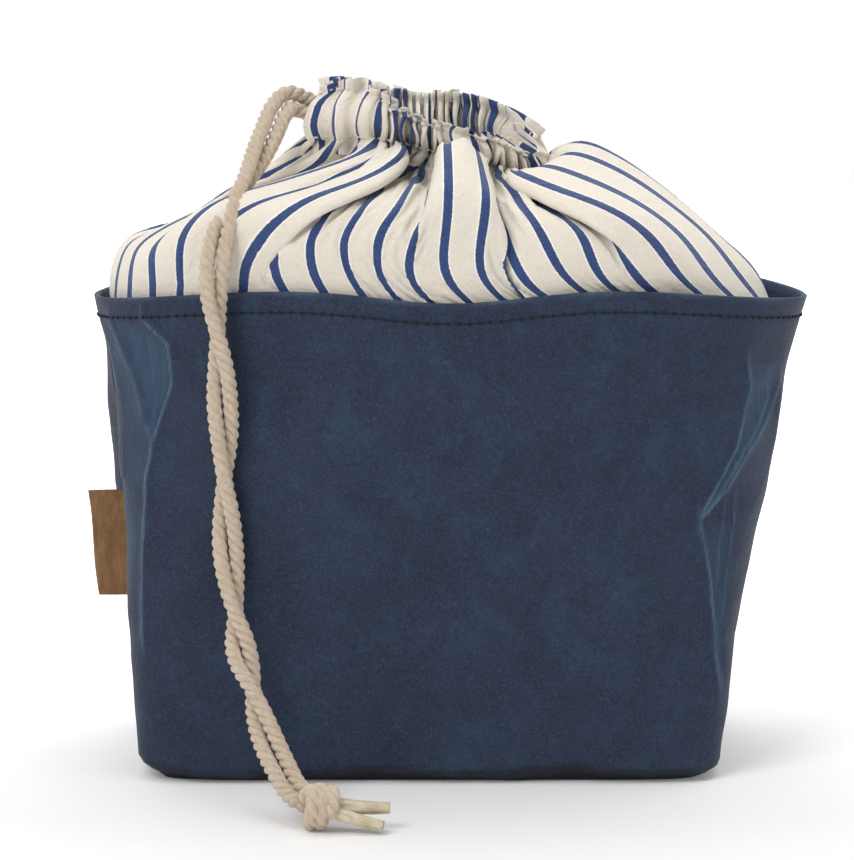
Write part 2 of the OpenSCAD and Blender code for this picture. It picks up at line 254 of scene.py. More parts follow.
def sweep(path, radius):
    """A plain tube with rounded ends."""
    s = running(path)
    size = radius * np.sqrt(np.clip(np.minimum(s, s[-1] - s) / radius, 0.01, 1))
    return tube(path, size, *carried(path))


def rope(path, radius, lay, phase=0.0, sides=10):
    """Three strands laid round a path, rounded off at both ends."""
    a, b = carried(path)
    s = running(path)
    size = np.sqrt(np.clip(np.minimum(s, s[-1] - s) / 1.5, 0.004, 1))
    parts = []
    for k in range(3):
        turn = (phase + 2 * math.pi * (s / lay + k / 3))[:, None]
        centre = path + radius * 0.40 * size[:, None] * (np.cos(turn) * a + np.sin(turn) * b)
        parts.append(tube(centre, radius * 0.64 * size, a, b, turn, sides, s / 10))
    return joined(parts)


# ---- materials
def place_of(shader):
    return shader.node("TexCoord").outputs["Object"]


def uv_of(shader):
    """The two uv numbers."""
    return shader.node("SeparateXYZ", {0: shader.node("UVMap").outputs[0]}).outputs[:2]


def attribute(shader, name):
    return shader.node("Attribute", attribute_name=name).outputs["Fac"]


def paper_material():
    """Washable paper: fine grain, cloudy dye, faint creases and pale wear where it is folded; painted light
    on the hollows, a painted highlight along the rim's top edge, and painted shade under the bottom edge.
    """
    m = Shader("washable_paper")
    at = place_of(m)
    speck = m.noise(at, 1500, 2, 0.8)
    grit = m.ramp(m.noise(at, 760, 3, 0.7), 0.3, 0.7)
    cloud = m.noise(at, 34, 8, 0.75, 0.2)
    teal = m.ramp(m.noise(at, 62, 7, 0.72, 0.4), 0.5, 0.72)
    colour = m.mix(m.ramp(cloud, 0.34, 0.66), srgb("1A233C"), srgb("28334D"))
    colour = m.mix(m.mul(teal, 0.7), colour, srgb("25455B"))
    colour = m.mix(m.mul(m.ramp(speck, 0.48, 0.72), 0.5), colour, srgb("445570"))
    colour = m.mix(m.mul(m.ramp(grit, 0.6, 0.1), 0.5), colour, srgb("13172A"))
    streaks = m.ramp(m.noise(m.scaled(at, (420, 420, 70)), 1.0, 4, 0.7), 0.35, 0.65)
    # painted light: the hollows beside the folds are painted paler, streaked
    hollow_light = m.mul(attribute(m, "pale"), m.ramp(streaks, -0.6, 1.2), clamp=True)
    colour = m.mix(hollow_light, colour, srgb("3D5974"))
    # pale wear along the folds, and a painted highlight along the rim's top edge
    scuff_and_highlight = m.mul(attribute(m, "wear_and_highlight"), m.ramp(streaks, -0.8, 0.9), clamp=True)
    colour = m.mix(m.mul(scuff_and_highlight, 0.8), colour, srgb("64809A"))
    # painted shade: near black along the rolled-under bottom edge and the base's underside
    colour = m.mix(m.mul(attribute(m, "underside_shade"), 0.85), colour, srgb("10131C"))
    sway = m.scaled(m.node("TexNoise", {"Vector": at, "Scale": 70.0}).outputs[1], (0.01, 0.01, 0.01))
    warp = m.node("VectorMath", {0: at, 1: sway}, operation="ADD").outputs[0]
    fold = m.node("TexVoronoi", {"Vector": warp, "Scale": 70.0}, feature="DISTANCE_TO_EDGE").outputs[0]
    fold = m.mul(m.ramp(fold, 0.07, 0.0), m.ramp(m.noise(at, 30, 2), 0.5, 0.7), clamp=True)
    height = m.add(m.mul(speck, 0.7), m.mul(grit, 0.6))
    height = m.add(height, m.mul(m.noise(at, 120, 4), 1.1))
    height = m.add(height, m.mul(fold, -0.35))
    rough = m.add(0.56, m.mul(grit, 0.14))
    return m.finish(Base_Color=colour, Roughness=rough, Specular_IOR_Level=0.3,
                    Normal=m.bump(height, 0.0005, 0.8))


STRIPES_ROUND = 46.4            # stripe pitches in the liner's whole width
PITCH = 12.4
STRIPE_AT = 0.2                 # where in its pitch a stripe's middle is
STRIPE_HALF = 1.55
YARN_PITCH = 0.42
CLOTH_V = 100.0                 # millimetres of cloth in one unit of v


def cotton_material():
    """Cream cotton with woven navy stripes, each between two thin pale lines."""
    m = Shader("striped_cotton")
    u, v = uv_of(m)
    u, v = m.mul(u, STRIPES_ROUND * PITCH), m.mul(v, CLOTH_V)
    cloth = m.node("CombineXYZ", {0: u, 1: v}).outputs[0]
    ragged = m.mul(m.math("SUBTRACT", m.noise(cloth, 1.6, 2), 0.5), 0.5)
    in_pitch = m.math("FRACT", m.math("DIVIDE", m.add(u, ragged), PITCH))
    off = m.mul(m.math("ABSOLUTE", m.math("SUBTRACT", in_pitch, STRIPE_AT)), PITCH)
    in_stripe = m.math("LESS_THAN", off, STRIPE_HALF)
    in_edge = m.math("LESS_THAN", off, STRIPE_HALF + 0.6)
    warp = m.math("SINE", m.mul(u, 2 * math.pi / YARN_PITCH))
    weft = m.math("SINE", m.mul(v, 2 * math.pi / YARN_PITCH))
    weave = m.mul(warp, weft)
    slub = m.noise(m.scaled(cloth, (3.2, 0.5, 1)), 1.0, 3)
    slub2 = m.noise(m.scaled(cloth, (0.5, 3.2, 1)), 1.0, 3)
    tone = m.ramp(m.add(slub, slub2), 0.7, 1.3)
    ground = m.mix(tone, srgb("E8DFCF"), srgb("F7F0E4"))
    patches = m.ramp(m.noise(cloth, 0.05, 3), 0.35, 0.7)
    ground = m.mix(m.mul(patches, 0.25), ground, srgb("EEE6D7"))
    navy = m.mix(tone, srgb("2B4071"), srgb("44598B"))
    colour = m.mix(in_edge, ground, srgb("FBF7EF"))
    colour = m.mix(in_stripe, colour, navy)
    creased = m.noise(cloth, 0.12, 4, 0.6, 0.8)
    normal = m.bump(m.add(weave, m.mul(tone, 1.5)), 0.00012, 0.5)
    normal = m.bump(creased, 0.0022, 0.6, normal)
    return m.finish(Base_Color=colour, Roughness=0.9, Specular_IOR_Level=0.15, Sheen_Weight=0.25,
                    Normal=normal)


def yarn_material():
    """Soft spun yarn: fibres run along the strand with a slight slope."""
    m = Shader("cotton_cord")
    at = place_of(m)
    u, v = uv_of(m)
    slope = m.add(m.mul(u, 6.0), m.mul(v, 9.0))
    fibre = m.node("CombineXYZ", {0: m.mul(slope, 3.0), 1: v}).outputs[0]
    threads = m.noise(fibre, 3.0, 4, 0.7)
    clumps = m.noise(at, 420, 4, 0.7)
    tone = m.add(m.mul(threads, 0.6), m.mul(clumps, 0.6))
    tone = m.ramp(tone, 0.45, 0.8)
    colour = m.mix(tone, srgb("E4C6A3"), srgb("FFF3E1"))
    return m.finish(Base_Color=colour, Roughness=0.93, Specular_IOR_Level=0.1, Sheen_Weight=0.5,
                    Normal=m.bump(tone, 0.0007, 0.8))


def kraft_material():
    """Brown kraft paper with darker fibres."""
    m = Shader("kraft_paper")
    at = place_of(m)
    fibre = m.noise(m.scaled(at, (400, 400, 120)), 1.0, 4, 0.7)
    cloud = m.noise(at, 60, 3)
    colour = m.mix(m.ramp(fibre, 0.35, 0.7), srgb("7B5A3B"), srgb("A07C56"))
    colour = m.mix(m.mul(m.ramp(cloud, 0.4, 0.7), 0.4), colour, srgb("8E6B47"))
    return m.finish(Base_Color=colour, Roughness=0.82, Specular_IOR_Level=0.25,
                    Normal=m.bump(m.add(fibre, m.noise(at, 1100, 2)), 0.0003, 0.6))


def thread_material(name, code):
    m = Shader(name)
    twist = m.node("TexWave", {"Vector": place_of(m), "Scale": 700.0, "Distortion": 2.0},
                   bands_direction="DIAGONAL").outputs[1]
    base = srgb(code)
    dark = tuple(c * 0.7 for c in base[:3]) + (1,)
    return m.finish(Base_Color=m.mix(twist, dark, base), Roughness=0.75,
                    Normal=m.bump(twist, 0.0002, 0.7))


def waxed_material():
    """Cord end stiffened with wax: paler, smoother, a little glossy."""
    m = Shader("waxed_cord_end")
    at = place_of(m)
    u, v = uv_of(m)
    ribs = m.node("CombineXYZ", {0: m.mul(u, 14.0), 1: m.mul(v, 4.0)}).outputs[0]
    lines = m.noise(ribs, 1.0, 3)
    colour = m.mix(m.ramp(lines, 0.35, 0.65), srgb("BDB092"), srgb("DAD2BD"))
    stains = m.ramp(m.noise(at, 300, 3), 0.5, 0.7)
    colour = m.mix(m.mul(stains, 0.5), colour, srgb("A89874"))
    return m.finish(Base_Color=colour, Roughness=0.55, Specular_IOR_Level=0.4,
                    Normal=m.bump(lines, 0.0006, 0.7))


def floor_material():
    """A white sweep: it glows a little, and more with distance, until it meets the backdrop."""
    m = Shader("floor")
    at = place_of(m)
    depth = m.node("SeparateXYZ", {0: at}).outputs[1]
    glow = m.add(0.04, m.mul(m.ramp(depth, -0.1, 0.55), 0.8))
    white = m.mix(m.noise(at, 40, 3), srgb("F3F3F4"), srgb("F6F6F6"))
    return m.finish(Base_Color=white, Roughness=0.8, Emission_Color=srgb("FFFFFF"), Emission_Strength=glow)


MATERIALS = {
    "washable_paper": paper_material(),
    "striped_cotton": cotton_material(),
    "cotton_cord": yarn_material(),
    "waxed_cord_end": waxed_material(),
    "kraft_paper": kraft_material(),
    "dark_thread": thread_material("dark_thread", "070910"),
    "white_thread": thread_material("white_thread", "F3F0EA"),
}

# ---- cords
# The middle of the twisted pair from the casing to the knot, and how far round it the first cord is
PAIR_ROUTE = np.array([
    (-48.5, 0, 217, -30), (-53, -2.5, 218.5, -10), (-56.5, -8.5, 215.5, 5), (-59, -16, 209.5, 15),
    (-62, -24.5, 202.5, 35), (-65.5, -33.5, 195.5, 70), (-69.5, -42.5, 188.5, 105), (-72.5, -51, 180.5, 140),
    (-74.5, -58, 170.5, 180), (-75, -61, 159, 225), (-74, -61, 147.5, 270), (-73, -61.5, 136, 315),
    (-72.5, -62, 124.5, 360), (-72, -62, 113, 405), (-72, -62.5, 101.5, 450), (-71.5, -63, 90, 495),
    (-71, -64, 79, 540), (-70, -66, 68, 590), (-68.5, -69.5, 57.5, 640), (-66.5, -74, 47.5, 720),
    (-63.5, -80, 38, 800), (-60.5, -86.5, 29.5, 860), (-57, -93, 22, 900), (-53, -100, 15.5, 925),
    (-49, -107, 10.5, 945), (-44.5, -113, 8, 960)], float)
CORD_D = 5.0
KNOT = np.array([-39.8, -117.5, 7.6])


def tail_path(start):
    """One cord of the pair, which turns round the pair's middle line."""
    s = running(PAIR_ROUTE[:, :3])
    x = np.linspace(0, s[-1], 400)
    fine = spline(s, PAIR_ROUTE, x)
    t = unit(np.gradient(fine[:, :3], axis=0))
    a = unit(np.cross(t, [0, 1, 0]))
    b = np.cross(a, t)
    turn = np.radians(start + fine[:, 3])[:, None]
    return fine[:, :3] + (CORD_D / 2 + 0.1) * (np.cos(turn) * a + np.sin(turn) * b)


def cord_pieces():
    for node, start in (("cord_tail_a", 0), ("cord_tail_b", 180)):
        path = tail_path(start)
        inside = np.array([[-44.5, 0.6, 215.5]]) + (path[0] - PAIR_ROUTE[0, :3]) * [1, 0.7, 0.9]
        path = resample(np.vstack([inside, path]), 420)
        shape = rope(path, CORD_D / 2, 10.0, phase=start / 57.3)
        piece = mesh_piece(node + "_rope", shape, "cotton_cord", "tails", node)
    # the knot: both cords wrapped round themselves, the right-hand wrap over the left
    turns = np.linspace(0, 1, 230)
    angle = math.radians(215) - turns * 2 * math.pi * 2.7
    x = -4.8 + 7.4 * turns + 1.3 * np.sin(angle + 0.6)
    radius = 4.9 + 0.5 * np.sin(2 * angle + 0.8) - 0.7 * np.abs(2 * turns - 1)
    wrap = np.stack([x, -radius * np.cos(angle) * 0.95, radius * np.sin(angle) * 1.1], 1) + KNOT
    core = np.array([(-5, 1, 0.5), (-2, 0.5, 0.5), (2, 0, 0.2), (5, -0.2, -0.4)]) + KNOT
    parts = [rope(wrap, 2.6, 9.5, sides=10), rope(resample(core, 20), 2.4, 12.0)]
    points, faces, uv = joined(parts)
    points[:, 2] = np.maximum(points[:, 2], 0.15)
    knot = mesh_piece("cord_knot_wraps", (points, faces, uv), "cotton_cord", "tails", "cord_knot")
    for name, node, wide, route in (
            ("waxed_end_a", "cord_end_a", 2.6,
             [(-38.5, -117, 8.2), (-33, -117, 7.7), (-27, -116.8, 7.2), (-19, -116.5, 6.9)]),
            ("waxed_end_b", "cord_end_b", 2.4,
             [(-38.5, -119.5, 6.6), (-33, -120.4, 5.6), (-27.5, -121.3, 4.1), (-21, -122.3, 2.6)])):
        path = resample(spline(np.arange(4.0), np.array(route), np.linspace(0, 3, 40)), 28)
        mesh_piece(name, hollow_end(path, wide), "waxed_cord_end", "tails", node)


def hollow_end(path, wide, sides=20):
    """A flattened, stiffened cord end that is open at its tip."""
    a, b = carried(path)
    ring = np.arange(sides) / sides * 2 * math.pi
    s = running(path) / running(path)[-1]
    rows = []
    last = len(path) - 1
    profile = [(i, 1.0) for i in range(len(path))]
    profile += [(last, 0.8), (last, 0.62), (last - 2, 0.5), (last - 5, 0.3), (last - 6, 0.02)]
    for i, size in profile:
        tall = wide * (0.9 - 0.22 * s[i])
        w = wide * (1 + 0.05 * math.sin(7 * s[i]))
        ripple = 1 + 0.05 * np.cos(3 * ring + 4 * s[i]) + 0.04 * np.cos(5 * ring - 6 * s[i])
        rows.append(path[i] + size * (tall * (np.cos(ring) * ripple)[:, None] * a[i]
                                      + w * (np.sin(ring) * ripple)[:, None] * b[i]))
    return np.array(rows).reshape(-1, 3), *grid(len(rows), sides)


cord_pieces()

# ---- paper shell
# The rim's half width and half depth come from the CAD boxes
front_low, front_high = (np.array(p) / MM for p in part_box("front_panel"))
RIM_W = (front_high[0] - front_low[0]) / 2
RIM_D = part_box("back_panel")[1][1] / MM
RIM_H = 159                     # mean height of the rim
BASE_LEFT, BASE_RIGHT = -102.0, 88.0
BASE_D = 58.0
HALF = 380                      # columns of each half


def oval(a, b, power, angle):
    c, s = np.cos(angle), np.sin(angle)
    r = (np.abs(c / a) ** power + np.abs(s / b) ** power) ** (-1 / power)
    return r * c, r * s


def mix(a, b, t):
    return a + (b - a) * t


def rim_z(angle):
    return RIM_H + 3 * np.sin(angle) - 2.5 * np.cos(2 * angle) - 2.4 * np.cos(4 * angle)


def shell_outline(t, angle):
    left, right = mix(BASE_LEFT, -RIM_W, t), mix(BASE_RIGHT, RIM_W, t)
    x, y = oval((right - left) / 2, mix(BASE_D, RIM_D, t), mix(2.15, 10, (1 - t) ** 2), angle)
    fold = 6 * math.sin(math.pi * t) * np.exp(-(y / 14) ** 2)
    return (left + right) / 2 + x - np.sign(x) * fold, y


def shell_ring(t):
    """Both halves of the outline, from the left seam round the front to the right seam and back."""
    halves = []
    for turn in (1, -1):
        angle = np.radians(180 + turn * np.linspace(0, 180, 361))
        x, y = shell_outline(t, angle)
        line = resample(np.stack([x, y], 1), HALF + 1)
        halves.append(line)
    ring = np.vstack([halves[0][:-1], halves[1][::-1][:-1]])
    angle = np.arctan2(ring[:, 1], ring[:, 0])
    return np.column_stack([ring, t * rim_z(angle)])


# Worn folds on the front: (x, z) along each, height of its ridge, half width, wear
FOLD_LINES = [
    ([(-100, 148), (-95, 143), (-91, 139), (-90, 127), (-94, 115), (-96, 108)], 0.7, 1.0, 0.75),
    ([(-96, 108), (-98, 97), (-99, 77), (-100, 61), (-99.5, 45)], 0.8, 1.0, 0.9),
    ([(-112, 147), (-104, 130), (-100, 115), (-96, 108)], 0.5, 0.9, 0.6),
    ([(96, 134), (97, 126), (95, 117), (92, 106), (86, 95), (80, 84)], 0.6, 0.9, 0.8),
    ([(108, 127), (105, 120), (101, 112), (95, 103), (89, 93), (80, 83)], 0.7, 0.9, 0.85),
    ([(104, 122), (100, 113), (95, 105), (90, 97), (84, 88)], 0.25, 0.7, 0.6),
    ([(80, 84), (82, 77), (85, 64), (86, 54), (88, 29)], 0.7, 0.9, 0.75),
    ([(93, 91), (92, 79), (91, 64), (90, 53)], 0.25, 0.7, 0.4),
    ([(89.5, 91), (88, 74), (87.5, 62)], 0.2, 0.7, 0.3),
]
# Hollows beside them: left and right edge as (x, z) lines, depth, paleness (painted light on their faces)
HOLLOWS = [
    ([(-96, 108), (-100, 115), (-104, 130), (-112, 147)],
     [(-95, 108), (-94, 115), (-90, 127), (-91, 139), (-100, 148)], 1.8, 0.8),
    ([(-106, 60), (-107, 95), (-108, 118), (-112, 134), (-117, 152)],
     [(-100, 61), (-99, 77), (-98, 97), (-96, 108), (-104, 130), (-112, 147)], 0.7, 0.45),
    ([(79.5, 83), (86, 95), (92, 106), (95, 117), (97, 126), (96, 134)],
     [(82, 83), (89, 93), (95, 103), (101, 112), (105, 120), (108, 127)], 0.8, 0.75),
    ([(84, 83), (89, 93), (95, 103), (101, 112), (105, 120), (108, 127)],
     [(98, 83), (104, 96), (107, 110), (109, 127)], 0.9, 0.1),
    ([(81, 83), (85, 64), (88, 29)], [(93, 83), (91, 64), (91, 29)], 0.5, 0.5),
]


def smooth(v):
    v = np.clip(v, 0, 1)
    return v * v * (3 - 2 * v)


def lean(x):
    """The neck stands higher on its left."""
    x = x - NECK_X
    return -0.17 * x - 0.0034 * x ** 2 - 0.006 * np.maximum(x - 15, 0) ** 2


def closed_line(a, b, power, centre=0.0):
    angle = math.pi + np.arange(1440) / 1440 * 2 * math.pi
    x, y = oval(a, b, power, angle)
    return np.column_stack([x + centre, y])


def even_ring(line):
    return resample(np.vstack([line, line[:1]]), COLS + 1)[:-1]


def waves(a, b, count, longest, shortest, seed):
    """A smooth random field: a sum of sines with wavelengths between the two given."""
    r = np.random.default_rng(seed)
    total = np.zeros_like(a)
    for _ in range(count):
        length = math.exp(r.uniform(math.log(shortest), math.log(longest)))
        way = r.uniform(0, math.pi)
        total += math.sqrt(length / longest) * np.sin(
            2 * math.pi / length * (a * math.cos(way) + b * math.sin(way)) + r.uniform(0, 6.3))
    return total / math.sqrt(count)


def upright(line):
    """The line's heights, rising, and its x at each."""
    line = np.array(sorted(line, key=lambda p: p[1]), float)
    return line[:, 1], line[:, 0]


def crease_row(zj, x, w, push, wear_and_highlight, pale):
    """Adds the folds and hollows to a row of the front, from each column's x and distance round."""
    outward = np.maximum.accumulate(x)              # x along the front, never turning back

    def around(z, line):
        return np.interp(np.interp(z, *line), outward, w)

    for line, height, wide, wear in FOLD_LINES:
        line = upright(line)
        low, high = line[0][0] - 6, line[0][-1] + 6
        if not low < zj < high:
            continue
        d = w - around(zj, line)
        slope = abs(np.interp(zj + 2, *line) - np.interp(zj - 2, *line)) / 4
        wider = wide * math.hypot(1, slope)
        fade = min(zj - low, high - zj, 8) / 8
        push += fade * height * np.clip(1 - np.abs(d) / (3 * wider), 0, 1)
        np.maximum(wear_and_highlight, fade * wear * np.exp(-(d / (0.55 * wider)) ** 2), out=wear_and_highlight)
    for left, right, depth, paleness in HOLLOWS:
        left, right = upright(left), upright(right)
        low, high = left[0][0], left[0][-1]
        if not low < zj < high:
            continue
        start, end = around(zj, left), around(zj, right)
        share = np.clip((w - start) / max(end - start, 0.5), 0, 1)
        bump = np.sin(math.pi * share) * min(zj - low, high - zj, 8) / 8
        push -= depth * bump
        # painted light: the hollow's faces are painted paler, as where light falls on the gussets
        np.maximum(pale, paleness * np.sqrt(bump), out=pale)


def shell():
    levels = np.r_[0, 0.006, 0.014, 0.024, 0.035, np.linspace(0.045, 0.93, 140), np.linspace(0.938, 1, 12)]
    rings = np.array([shell_ring(t) for t in levels])              # rows, columns, xyz
    corner = 2.5 * np.maximum(0, 1 - levels / 0.03) ** 2
    rings[:, :, 0] *= (1 - corner / 95)[:, None]
    rings[:, :, 1] *= (1 - corner / BASE_D)[:, None]
    rows, cols = rings.shape[:2]
    along = np.roll(rings, -1, 1) - np.roll(rings, 1, 1)
    normal = unit(np.stack([along[..., 1], -along[..., 0], np.zeros((rows, cols))], -1))
    step = np.linalg.norm(np.roll(rings, -1, 1) - rings, axis=2)
    w = np.cumsum(step, 1) - step
    z = rings[..., 2]
    t = levels[:, None]
    push, wear_and_highlight, pale = np.zeros((3, rows, cols))
    front = np.arange(cols) <= HALF
    for j in range(rows):
        crease_row(z[j, 0], *(field[j, :HALF + 1] for field in (rings[..., 0], w, push, wear_and_highlight, pale)))
    # the front's left edge is drawn in, the back stands out beyond it, and the right narrows low down
    drawn = np.interp(z, (6, 30, 60, 88, 112, 130, 148), (0, 2, 5, 6, 4.5, 2.5, 0))
    on_left = rings[..., 0] < 0
    push -= drawn * front * np.exp(-(w / 30) ** 2) * (1 - np.exp(-(w / 4) ** 2)) * on_left
    back_w = w[:, -1:] + step[:, -1:] - w
    stood = np.interp(z, (50, 70, 88, 115, 130, 150), (0, 3, 5, 4, 2.5, 0)) * ~front * on_left
    push += stood * np.exp(-((back_w - 16) / 13) ** 2)
    narrow = np.interp(z, (4, 25, 45, 64, 88, 100), (0, 1.5, 3.5, 3, 1, 0))
    push -= narrow * smooth((rings[..., 0] - 55) / 25)
    calm = np.clip(t / 0.1, 0, 1) * np.clip((1 - t) / 0.12, 0, 1)
    push += calm * (0.55 * waves(w, z, 9, 120, 34, 3) + 0.22 * waves(w, z, 14, 34, 12, 4))
    rim = np.clip((t - 0.8) / 0.2, 0, 1)
    push += rim * 0.5 * waves(w, z * 0.2, 5, 90, 40, 5)
    hem_z = rim_z(np.arctan2(rings[..., 1], rings[..., 0])) - 6
    push -= 0.3 * np.exp(-((z - hem_z) / 0.8) ** 2)             # the hem's stitches draw the paper in
    seam_distance = np.minimum.reduce([w, np.abs(w - w[:, HALF:HALF + 1]), np.abs(back_w)])
    push -= 0.8 * np.exp(-(seam_distance / 0.9) ** 2) * np.clip(t / 0.05, 0, 1)
    dent = np.exp(-(((rings[..., 0] - 19) / 16) ** 2 + ((z - 11) / 7) ** 2)) * (rings[..., 1] < 0)
    push -= 1.2 * dent
    # painted highlight: a paler band along the rim's top edge, added to the folds' wear
    wear_and_highlight = np.maximum(wear_and_highlight, 0.45 * np.exp(-((t - 1) / 0.005) ** 2) * (0.6 + 0.4 * np.sin(w / 5)))
    # painted shade: a wavy band along the bottom edge, where it turns under, is painted near black (the
    # geometry below also draws that edge in)
    edge = 4.4 + 1.6 * waves(w, z * 0, 7, 60, 14, 9) + 3 * dent
    underside_shade = smooth((edge - z) / 1.6 + 0.5)
    push -= 4.5 * smooth((edge + 0.5 - z) / 5)
    outer = rings + normal * push[..., None]
    hem = np.where(levels > 1 - 8 / RIM_H, 2.0, 1.0)       # the paper is double there
    inner = outer - normal * hem[:, None, None]
    lip = (outer[-1] + inner[-1]) / 2 + [0, 0, 0.4]
    near_out = outer[-1] + [0, 0, 0.22] - normal[-1] * 0.35
    near_in = inner[-1] + [0, 0, 0.22] + normal[-1] * 0.35
    thin = inner[::-3]                          # the inside needs fewer rows
    middle = np.array([(BASE_LEFT + BASE_RIGHT) / 2, 0, 0])
    shares = (0.002, 0.3, 0.6, 0.85, 0.97)
    under_base = [middle + (outer[0] - middle) * [share, share, 0] for share in shares]
    floor_inside = [middle + (thin[-1] - middle) * [share, share, 0] + [0, 0, 1.0] for share in shares[::-1]]
    none = np.zeros((5, cols))
    stack = np.concatenate([under_base, outer, [near_out, lip, near_in], thin, floor_inside])
    # fold wear together with the painted rim highlight; the painted light of the hollows; painted shade under
    # the bottom edge and over all of the base's underside
    wear = np.concatenate([none, wear_and_highlight, [wear_and_highlight[-1]] * 3, wear_and_highlight[::-3] * 0.2, none])
    pales = np.concatenate([none, pale, [pale[-1]] * 3, pale[::-3] * 0, none])
    shade = np.concatenate([none + 1, underside_shade, none[:3], pale[::-3] * 0, none])
    inside = slice(len(outer) + 8, len(outer) + 8 + len(thin))
    stack[inside, :, 2] = np.maximum(stack[inside, :, 2], 1.0)
    mesh_piece("paper_shell", (stack.reshape(-1, 3), *grid(len(stack), cols)), "washable_paper", "shell",
               "front_panel", "back_panel", "base_panel", "rim_hem_front", "rim_hem_back",
               fields={"wear_and_highlight": wear, "pale": pales, "underside_shade": shade})
    return outer, normal, levels


def stitches_along(line, out, pitch, length, radius, lift, first=0.5, skip=None):
    """Stitches along a closed line of points with outward directions."""
    closed = np.vstack([line, line[:1]])
    s = running(closed)
    count = int(round(s[-1] / pitch))
    parts = []
    shape = np.array([-0.35, 0.6, 1.0, 0.6, -0.35]) * lift
    for k in range(count):
        if skip and skip(k / count):
            continue
        x = (k + first) * s[-1] / count + np.linspace(-0.5, 0.5, 5) * length
        x = np.mod(x, s[-1])
        p = np.stack([np.interp(x, s, closed[:, c]) for c in range(3)], 1)
        n = np.stack([np.interp(x, s, np.r_[out[:, c], out[:1, c]]) for c in range(3)], 1)
        parts.append(sweep(p + n * shape[:, None], radius))
    return joined(parts)


outer, normal, levels = shell()
row = int(np.argmin(np.abs(levels - (1 - 6 / RIM_H))))
threads = stitches_along(outer[row], normal[row], 3.35, 2.4, 0.14, 0.15)
holes = stitches_along(outer[row], normal[row], 3.35, 1.2, 0.55, 0.25, first=0)
mesh_piece("hem_stitches", joined([threads, holes]), "dark_thread", "shell", "hem_stitching")


def label_tab():
    """A strip of kraft paper folded in two, its fold outward, its cut edges in the seam."""
    rows = 15
    half = 0.62
    reach = 16.0
    x = np.r_[np.linspace(0, 1 - reach, 12), 0.5 - reach, 0.15 - reach, -reach, 0.15 - reach, 0.5 - reach,
              np.linspace(1 - reach, 0, 12)]
    y = half * np.r_[np.full(12, -1), -0.92, -0.6, 0, 0.6, 0.92, np.full(12, 1)]
    back_x, back_y = x[::-1] * 0.97, y[::-1] * 0.2
    x, y = np.r_[x, back_x], np.r_[y, back_y]
    v = np.linspace(0, 1, rows)[:, None]
    root = mix(np.array([-102.6, 52.2]), np.array([-105.9, 87.8]), v)
    points = np.zeros((rows, len(x), 3))
    out = -x[None] / reach
    curl = -1.6 * out ** 2 * (0.4 + 0.6 * v) + 0.25 * np.sin(out * 5 + 4 * v) * out
    points[..., 0] = root[:, :1] + x[None] * (1 + 0.02 * np.sin(6 * v))
    points[..., 1] = y[None] + curl
    points[..., 2] = root[:, 1:] + 0.3 * np.sin(3 * out) * (v - 0.5)
    shape = (points.reshape(-1, 3), *grid(rows, len(x)))
    mesh_piece("kraft_label", shape, "kraft_paper", "label", "label_tab")


label_tab()

# ---- liner
COLS, CONE = 540, 60            # points round the cloth, and rows between the rim and the neck
CONE_LENGTH = 95.0              # millimetres of cloth between them
NECK_X, NECK_Z = -7.5, 204      # middle of the neck, and height of its lower stitches

